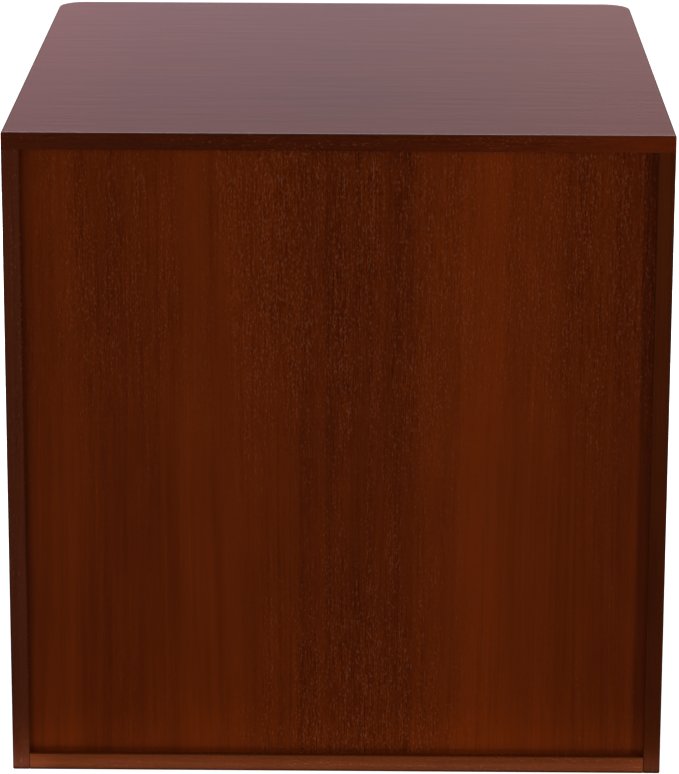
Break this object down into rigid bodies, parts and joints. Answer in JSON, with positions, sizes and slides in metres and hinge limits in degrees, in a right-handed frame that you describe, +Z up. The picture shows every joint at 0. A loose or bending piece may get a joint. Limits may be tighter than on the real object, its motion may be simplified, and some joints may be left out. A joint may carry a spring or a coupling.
{
  "type": "cube storage unit",
  "caption": "Open-fronted wooden storage cube with a recessed back panel, a rounded-corner top and an adjustable shelf.",
  "frame": {"origin": "on the floor, under the middle of the cube's width and depth", "axes": "+Z up, the open front faces -Y, the back panel faces +Y, +X to the right as seen from the front"},
  "size_m": [0.457, 0.508, 0.46],
  "materials": {
    "board_wood": "reddish-brown mahogany stain under satin lacquer",
    "back_panel_wood": "mahogany-stained open-pore veneer under satin lacquer",
    "dowel_beech": "plain beech",
    "cam_zinc": "die-cast zinc",
    "bolt_steel": "zinc-plated steel",
    "pin_nickel": "nickel-plated steel"
  },
  "bodies": {
    "carcass": {"back_panel": "back_panel_wood", "bottom_panel": "board_wood", "cam_bolt_bottom_left_front": "bolt_steel", "cam_bolt_bottom_left_rear": "bolt_steel", "cam_bolt_bottom_right_front": "bolt_steel", "cam_bolt_bottom_right_rear": "bolt_steel", "cam_bolt_top_left_front": "bolt_steel", "cam_bolt_top_left_rear": "bolt_steel", "cam_bolt_top_right_front": "bolt_steel", "cam_bolt_top_right_rear": "bolt_steel", "cam_bottom_left_front": "cam_zinc", "cam_bottom_left_rear": "cam_zinc", "cam_bottom_right_front": "cam_zinc", "cam_bottom_right_rear": "cam_zinc", "cam_top_left_front": "cam_zinc", "cam_top_left_rear": "cam_zinc", "cam_top_right_front": "cam_zinc", "cam_top_right_rear": "cam_zinc", "dowel_bottom_left_front": "dowel_beech", "dowel_bottom_left_rear": "dowel_beech", "dowel_bottom_right_front": "dowel_beech", "dowel_bottom_right_rear": "dowel_beech", "dowel_top_left_front": "dowel_beech", "dowel_top_left_rear": "dowel_beech", "dowel_top_right_front": "dowel_beech", "dowel_top_right_rear": "dowel_beech", "left_side_panel": "board_wood", "right_side_panel": "board_wood", "shelf_pin_left_front": "pin_nickel", "shelf_pin_left_rear": "pin_nickel", "shelf_pin_right_front": "pin_nickel", "shelf_pin_right_rear": "pin_nickel", "top_panel": "board_wood"},
    "shelf": {"adjustable_shelf": "board_wood"}
  },
  "joints": [
    {"name": "shelf_slide", "type": "slide", "parent": "carcass", "child": "shelf", "axis": [0, -1, 0], "range_m": [0, 0.5]}
  ]
}
